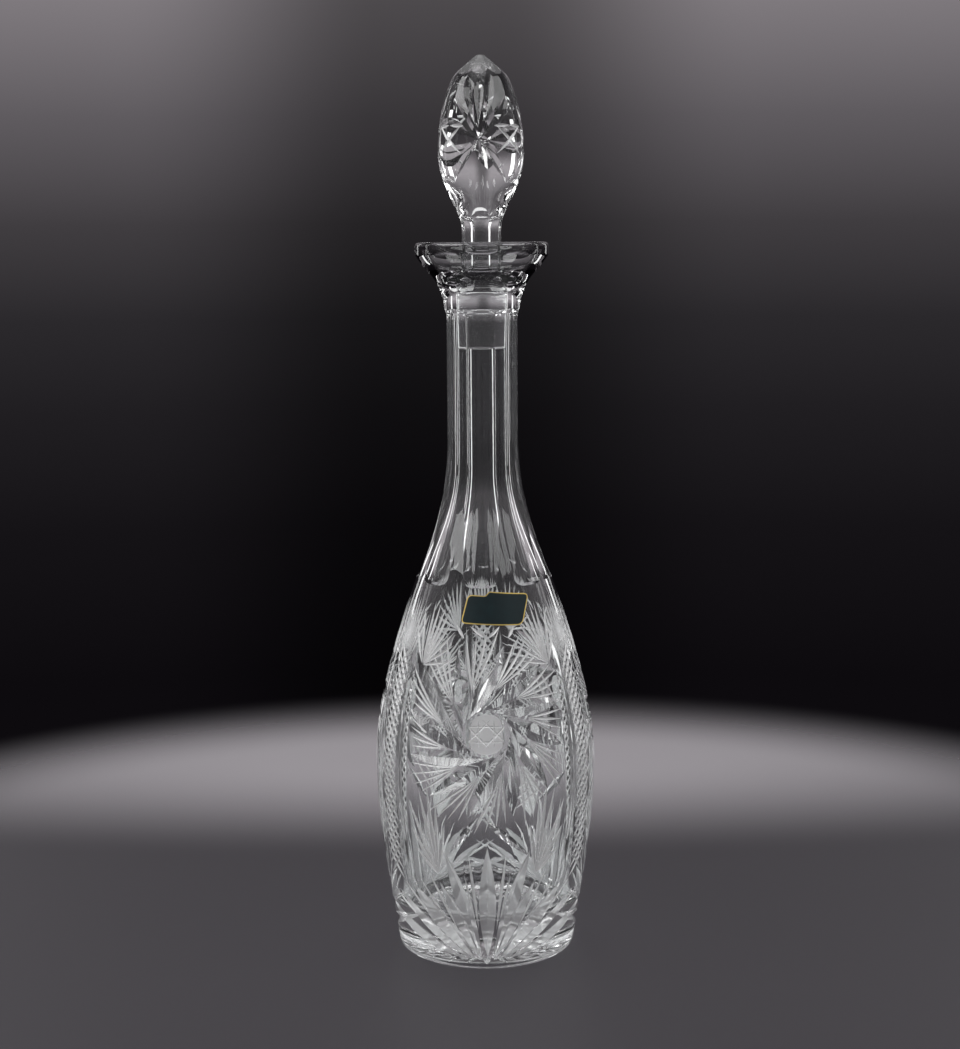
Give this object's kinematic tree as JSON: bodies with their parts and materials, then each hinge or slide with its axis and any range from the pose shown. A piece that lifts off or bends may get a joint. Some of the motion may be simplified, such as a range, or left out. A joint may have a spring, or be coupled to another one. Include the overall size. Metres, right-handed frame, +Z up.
{
  "type": "carafe",
  "caption": "Tall cut-glass carafe with a flared lip, fluted neck, pinwheel-cut body and a cut glass stopper that lifts out; plain foil label on the shoulder.",
  "frame": {"origin": "centre of the underside, on the surface that the carafe stands on", "axes": "+Z up along the axis of the bottle, -Y towards the front with the label, +X to the viewer's right"},
  "size_m": [0.1, 0.0999, 0.4],
  "materials": {
    "crystal": "clear lead crystal, cut and polished",
    "label_foil": "dark green lacquered foil with a gold edge"
  },
  "bodies": {
    "bottle": {"decanter_body": "crystal", "foil_label": "label_foil"},
    "stopper": {"stopper": "crystal"}
  },
  "joints": [
    {"name": "stopper_lift", "type": "slide", "parent": "bottle", "child": "stopper", "axis": [0, 0, 1], "range_m": [0, 0.12]}
  ]
}
